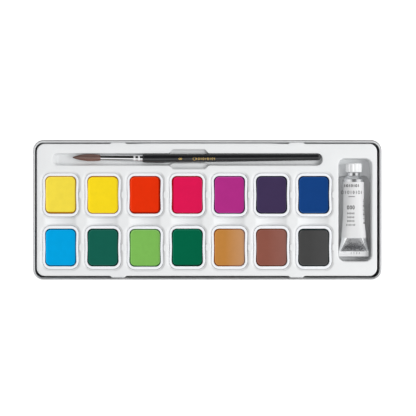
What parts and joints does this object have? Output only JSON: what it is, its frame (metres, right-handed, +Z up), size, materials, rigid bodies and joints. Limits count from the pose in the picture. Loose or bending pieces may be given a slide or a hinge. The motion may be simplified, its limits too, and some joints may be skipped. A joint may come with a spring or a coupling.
{
  "type": "gouache paint set box",
  "caption": "Open tin paint box with a white moulded tray that holds lift-out pans of gouache paint, a round brush and a screw-cap tube of paint.",
  "frame": {"origin": "centre of the underside of the tin, on the plane that it stands on", "axes": "+X along the tin towards the tube, +Y across it towards the brush, +Z up"},
  "size_m": [0.305, 0.1222, 0.0225],
  "materials": {
    "tinplate": "bare satin tinplate",
    "tray_sheet": "smooth white thermoformed sheet",
    "cup_plastic": "white injection-moulded plastic, satin gloss",
    "brush_hair": "soft brown hair",
    "ferrule_metal": "polished nickel plate",
    "handle_lacquer": "glossy black lacquer on wood",
    "tube_aluminium": "bare aluminium, white printed label",
    "cap_plastic": "white ribbed plastic",
    "liner": "pale soft sealing disc",
    "paint_lemon_yellow": "dry gouache, matt with a faint sheen",
    "paint_golden_yellow": "dry gouache, matt with a faint sheen",
    "paint_vermilion": "dry gouache, matt with a faint sheen",
    "paint_carmine": "dry gouache, matt with a faint sheen",
    "paint_purple": "dry gouache, matt with a faint sheen",
    "paint_violet": "dry gouache, matt with a faint sheen",
    "paint_ultramarine": "dry gouache, matt with a faint sheen",
    "paint_cyan": "dry gouache, matt with a faint sheen",
    "paint_pine_green": "dry gouache, matt with a faint sheen",
    "paint_light_green": "dry gouache, matt with a faint sheen",
    "paint_emerald": "dry gouache, matt with a faint sheen",
    "paint_ochre": "dry gouache, matt with a faint sheen",
    "paint_brown": "dry gouache, matt with a faint sheen",
    "paint_black": "dry gouache, matt with a faint sheen"
  },
  "bodies": {
    "tin": {"tin_base": "tinplate"},
    "tray": {"tray": "tray_sheet"},
    "brush": {"brush_hair": "brush_hair", "brush_ferrule": "ferrule_metal", "brush_handle": "handle_lacquer"},
    "tube": {"tube_body": "tube_aluminium"},
    "cap_seal": {"cap_liner": "liner"},
    "cap": {"tube_cap": "cap_plastic"},
    "pan_lemon_yellow": {"cup_lemon_yellow": "cup_plastic", "paint_lemon_yellow": "paint_lemon_yellow"},
    "pan_golden_yellow": {"cup_golden_yellow": "cup_plastic", "paint_golden_yellow": "paint_golden_yellow"},
    "pan_vermilion": {"cup_vermilion": "cup_plastic", "paint_vermilion": "paint_vermilion"},
    "pan_carmine": {"cup_carmine": "cup_plastic", "paint_carmine": "paint_carmine"},
    "pan_purple": {"cup_purple": "cup_plastic", "paint_purple": "paint_purple"},
    "pan_violet": {"cup_violet": "cup_plastic", "paint_violet": "paint_violet"},
    "pan_ultramarine": {"cup_ultramarine": "cup_plastic", "paint_ultramarine": "paint_ultramarine"},
    "pan_cyan": {"cup_cyan": "cup_plastic", "paint_cyan": "paint_cyan"},
    "pan_pine_green": {"cup_pine_green": "cup_plastic", "paint_pine_green": "paint_pine_green"},
    "pan_light_green": {"cup_light_green": "cup_plastic", "paint_light_green": "paint_light_green"},
    "pan_emerald": {"cup_emerald": "cup_plastic", "paint_emerald": "paint_emerald"},
    "pan_ochre": {"cup_ochre": "cup_plastic", "paint_ochre": "paint_ochre"},
    "pan_brown": {"cup_brown": "cup_plastic", "paint_brown": "paint_brown"},
    "pan_black": {"cup_black": "cup_plastic", "paint_black": "paint_black"}
  },
  "joints": [
    {"name": "tray_lift", "type": "slide", "parent": "tin", "child": "tray", "axis": [0, 0, 1], "range_m": [0, 0.03]},
    {"name": "brush_lift", "type": "slide", "parent": "tray", "child": "brush", "axis": [0, 0, 1], "range_m": [0, 0.02]},
    {"name": "tube_lift", "type": "slide", "parent": "tray", "child": "tube", "axis": [0, 0, 1], "range_m": [0, 0.03]},
    {"name": "cap_rise", "type": "slide", "parent": "tube", "child": "cap_seal", "axis": [0, 1, 0], "range_m": [0, 0.003]},
    {"name": "cap_turn", "type": "hinge", "parent": "cap_seal", "child": "cap", "pos_m": [0.1285, 0.0369, 0.01155], "axis": [0, 1, 0], "range_deg": [0, 720]},
    {"name": "pan_lemon_yellow_lift", "type": "slide", "parent": "tray", "child": "pan_lemon_yellow", "axis": [0, 0, 1], "range_m": [0, 0.02]},
    {"name": "pan_golden_yellow_lift", "type": "slide", "parent": "tray", "child": "pan_golden_yellow", "axis": [0, 0, 1], "range_m": [0, 0.02]},
    {"name": "pan_vermilion_lift", "type": "slide", "parent": "tray", "child": "pan_vermilion", "axis": [0, 0, 1], "range_m": [0, 0.02]},
    {"name": "pan_carmine_lift", "type": "slide", "parent": "tray", "child": "pan_carmine", "axis": [0, 0, 1], "range_m": [0, 0.02]},
    {"name": "pan_purple_lift", "type": "slide", "parent": "tray", "child": "pan_purple", "axis": [0, 0, 1], "range_m": [0, 0.02]},
    {"name": "pan_violet_lift", "type": "slide", "parent": "tray", "child": "pan_violet", "axis": [0, 0, 1], "range_m": [0, 0.02]},
    {"name": "pan_ultramarine_lift", "type": "slide", "parent": "tray", "child": "pan_ultramarine", "axis": [0, 0, 1], "range_m": [0, 0.02]},
    {"name": "pan_cyan_lift", "type": "slide", "parent": "tray", "child": "pan_cyan", "axis": [0, 0, 1], "range_m": [0, 0.02]},
    {"name": "pan_pine_green_lift", "type": "slide", "parent": "tray", "child": "pan_pine_green", "axis": [0, 0, 1], "range_m": [0, 0.02]},
    {"name": "pan_light_green_lift", "type": "slide", "parent": "tray", "child": "pan_light_green", "axis": [0, 0, 1], "range_m": [0, 0.02]},
    {"name": "pan_emerald_lift", "type": "slide", "parent": "tray", "child": "pan_emerald", "axis": [0, 0, 1], "range_m": [0, 0.02]},
    {"name": "pan_ochre_lift", "type": "slide", "parent": "tray", "child": "pan_ochre", "axis": [0, 0, 1], "range_m": [0, 0.02]},
    {"name": "pan_brown_lift", "type": "slide", "parent": "tray", "child": "pan_brown", "axis": [0, 0, 1], "range_m": [0, 0.02]},
    {"name": "pan_black_lift", "type": "slide", "parent": "tray", "child": "pan_black", "axis": [0, 0, 1], "range_m": [0, 0.02]}
  ],
  "couplings": [
    {"joint": "cap_turn", "follows": "cap_rise", "rad_per_m": 4188.8}
  ]
}
